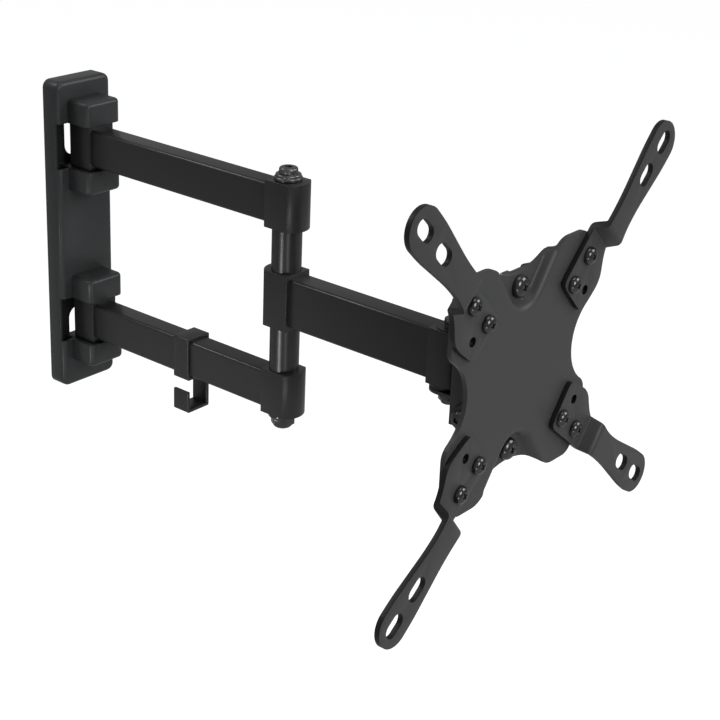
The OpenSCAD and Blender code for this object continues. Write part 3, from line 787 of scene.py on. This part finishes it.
def makeElbowHead():
    e = elbowTop
    y, seat = e["y"], e["z"]
    under = seat + e["washer"][1]
    middle = under + e["flange"][1]
    top = middle + e["head"][1]
    washer = disc("elbow_washer_round", 0, y, seat, under, e["washer"][0])
    cutBy(washer, disc("bore", 0, y, seat - 1, seat + 9, e["shank"] + e["play"]))
    breakEdges(washer, *e["washerEdge"])
    settle(washer)
    dress(washer, "elbow_top_washer", finish="satin fasteners")
    bolt = disc("elbow_bolt_round", 0, y, under, middle, e["flange"][0])
    bevelWhere(bolt, lambda p, q: min(p.z, q.z) > middle - slack, *e["flangeEdge"])
    crown = disc("crown", 0, y, middle - overlap, top, e["head"][0])
    bevelWhere(crown, lambda p, q: min(p.z, q.z) > top - slack, *e["crownEdge"])
    cutBy(crown, disc("socket", 0, y, top - e["socket"][1], top + 1, e["socket"][0], 6))
    cutBy(bolt, crown, "UNION")
    cutBy(bolt, disc("shank", 0, y, e["end"], under + overlap, e["shank"]), "UNION")
    settle(bolt)
    dress(bolt, "elbow_bolt", finish="satin fasteners")


makeElbowHead()
print("elbow bolt turned")

# screws with domed heads and cross recesses; a cross is its half length, half width and depth
screws = {
    "arm_screws": {
        "head": 4.8, "tall": 3.4, "shank": 2.5, "reach": 11.0, "cross": (2.5, 0.62, 2.0)},
    "pocket_screws": {
        "head": 6.1, "tall": 4.0, "shank": 3.0, "reach": 10.7, "cross": (3.1, 0.8, 2.4)},
}
screwMake = {"dome": 0.86, "domeSteps": 10, "recessFoot": 0.5, "edge": 0.12, "turn": 20}


def makeScrew(look):
    # head up along +Z, seated at z = 0
    tall = look["tall"]
    screw = disc("screwPattern", 0, 0, 0, tall, look["head"])
    bevelWhere(screw, lambda p, q: min(p.z, q.z) > tall - slack,
               tall * screwMake["dome"], screwMake["domeSteps"])
    bpy.context.tool_settings.mesh_select_mode = (False, False, True)
    bpy.ops.object.mode_set(mode="EDIT")
    bpy.ops.mesh.select_all(action="DESELECT")
    bpy.ops.object.mode_set(mode="OBJECT")
    for face in screw.data.polygons:
        face.select = face.normal.z < -0.9 and face.center.z < slack * mm
    bpy.ops.object.mode_set(mode="EDIT")
    bpy.ops.mesh.inset(thickness=(look["head"] - look["shank"]) * mm)
    way = {"value": (0, 0, -look["reach"] * mm)}
    bpy.ops.mesh.extrude_region_move(TRANSFORM_OT_translate=way)
    bpy.ops.object.mode_set(mode="OBJECT")
    for turn in (0, 90):
        bpy.ops.mesh.primitive_cube_add(size=2 * mm, location=(0, 0, tall * mm))
        blade = bpy.context.object
        blade.scale = look["cross"]
        blade.rotation_euler = (0, 0, math.radians(turn))
        applyPlace()
        # the recess narrows as it goes in
        deepest = min(v.co.z for v in blade.data.vertices) + slack * mm
        for vertex in blade.data.vertices:
            if vertex.co.z < deepest:
                vertex.co.x *= screwMake["recessFoot"]
                vertex.co.y *= screwMake["recessFoot"]
        cutBy(screw, blade)
    breakEdges(screw, screwMake["edge"], 2, 40, -1)
    return screw


def placeScrew(pattern, name, u, v, n, node, hide):
    screw = newObject(name, pattern.data.copy())
    turn = Matrix.Rotation(math.radians(screwMake["turn"]), 4, "Z")
    stand = Matrix.Rotation(math.pi / 2, 4, "X") @ turn
    screw.matrix_world = Matrix.Translation(platePoint(u, v, n)) @ stand
    settle(screw, 40)
    dress(screw, node, hide)


def makeScrews():
    # the first screw of each kind takes the place of the CAD node
    face, floor = plate["front"], plate["front"] - plate["depth"]
    small = makeScrew(screws["arm_screws"])
    first = True
    for su, sv in corners:
        for end in ("inner", "outer"):
            u, v = cornerPoint(su, sv, cornerScrews[end], 0)
            name = "arm_screw_" + ("l" if su < 0 else "r") + ("b" if sv < 0 else "t") + end[0]
            placeScrew(small, name, u, v, -face, "arm_screws", first)
            first = False
    large = makeScrew(screws["pocket_screws"])
    for s, side in ((-1, "low"), (1, "high")):
        placeScrew(large, "pocket_screw_" + side, 0, s * plate["screwPocket"], floor,
                   "pocket_screws", s < 0)
    for pattern in (small, large):
        bpy.data.objects.remove(pattern)


makeScrews()
print("screws placed")

for name, obj in nodes.items():
    if name not in dressed:
        obj.data.materials.clear()
        obj.data.materials.append(materials[slotOf[name]][0])

# the studio, in metres and watts; lamps as name, place, aim, size and power
studio = {
    "dayColour": (0.9, 0.92, 0.95, 1), "dayStrength": 0.11, "glossyShare": 0.25,
    "lamps": [
        ("frontKey", (1.15, -1.35, 0.95), (0, -0.25, 0), 0.9, 12),
        ("topSoft", (0.1, -0.4, 1.5), (0, -0.2, 0), 0.8, 3),
        ("edgeCard", (-0.56, 0.75, 1.14), (0, -0.2, 0), 0.5, 6),
        ("leftFill", (-0.95, -1.3, -0.6), (0, -0.2, -0.02), 0.35, 3),
        ("windowCard", (-0.3, -1.7, 0.65), (0, -0.32, 0.02), 0.7, 10),
    ],
}
# a narrow soft beam on the lower arm, which is lighter in the photograph
beam = {"place": (-0.9, -0.2, -0.35), "aim": (0, -0.12, -0.05), "power": 20, "angle": 15,
        "blend": 0.8, "size": 0.08}
# pale floor below the mount, white to the camera but for the mount's shadow
floorLook = {"size": 14, "z": -0.62, "base": (0.5, 0.5, 0.5, 1), "roughness": 0.8, "glow": 0.93}
white = (1, 1, 1, 1)


def backgroundShare(tree):
    # 1 for the camera and through glass, less in reflections
    path = tree.nodes.new("ShaderNodeLightPath").outputs
    seen = mathNode(tree, "MAXIMUM", path["Is Camera Ray"], path["Is Transmission Ray"])
    mirrored = mathNode(tree, "MULTIPLY", path["Is Glossy Ray"], studio["glossyShare"])
    return mathNode(tree, "MAXIMUM", seen, mirrored)


def placeLamp(name, data, power, place, aim):
    data.energy = power
    lamp = newObject(name, data)
    lamp.location = place
    toward = Vector(place) - Vector(aim)
    lamp.rotation_euler = toward.to_track_quat("Z", "Y").to_euler()


def makeStudio():
    world = bpy.data.worlds.new("paleRoom")
    bpy.context.scene.world = world
    world.use_nodes = True
    tree = world.node_tree
    light = tree.nodes["Background"]
    light.inputs["Color"].default_value = studio["dayColour"]
    light.inputs["Strength"].default_value = studio["dayStrength"]
    seen = tree.nodes.new("ShaderNodeBackground")
    seen.inputs["Color"].default_value = white
    mix = tree.nodes.new("ShaderNodeMixShader")
    tree.links.new(backgroundShare(tree), mix.inputs[0])
    tree.links.new(light.outputs[0], mix.inputs[1])
    tree.links.new(seen.outputs[0], mix.inputs[2])
    tree.links.new(mix.outputs[0], tree.nodes["World Output"].inputs["Surface"])
    bpy.context.scene.view_settings.view_transform = "Standard"
    for name, place, aim, size, power in studio["lamps"]:
        data = bpy.data.lights.new(name, "AREA")
        data.size = size
        placeLamp(name, data, power, place, aim)
    data = bpy.data.lights.new("lowerBeam", "SPOT")
    data.spot_size, data.spot_blend = math.radians(beam["angle"]), beam["blend"]
    data.shadow_soft_size = beam["size"]
    placeLamp("lowerBeam", data, beam["power"], beam["place"], beam["aim"])


def makeFloor():
    look = floorLook
    bpy.ops.object.select_all(action="DESELECT")
    bpy.ops.mesh.primitive_plane_add(size=look["size"], location=(0, 0, look["z"]))
    floor = bpy.context.object
    floor.name = "paleFloor"
    material = bpy.data.materials.new("paleFloor")
    material.use_nodes = True
    tree = material.node_tree
    shader = tree.nodes["Principled BSDF"]
    shader.inputs["Base Color"].default_value = look["base"]
    shader.inputs["Roughness"].default_value = look["roughness"]
    shader.inputs["Specular IOR Level"].default_value = 0.0
    glow = tree.nodes.new("ShaderNodeEmission")
    glow.inputs["Color"].default_value = white
    strength = mathNode(tree, "MULTIPLY", backgroundShare(tree), look["glow"])
    tree.links.new(strength, glow.inputs["Strength"])
    both = tree.nodes.new("ShaderNodeAddShader")
    tree.links.new(shader.outputs[0], both.inputs[0])
    tree.links.new(glow.outputs[0], both.inputs[1])
    tree.links.new(both.outputs[0], tree.nodes["Material Output"].inputs["Surface"])
    floor.data.materials.append(material)


makeStudio()
makeFloor()
print("studio ready")
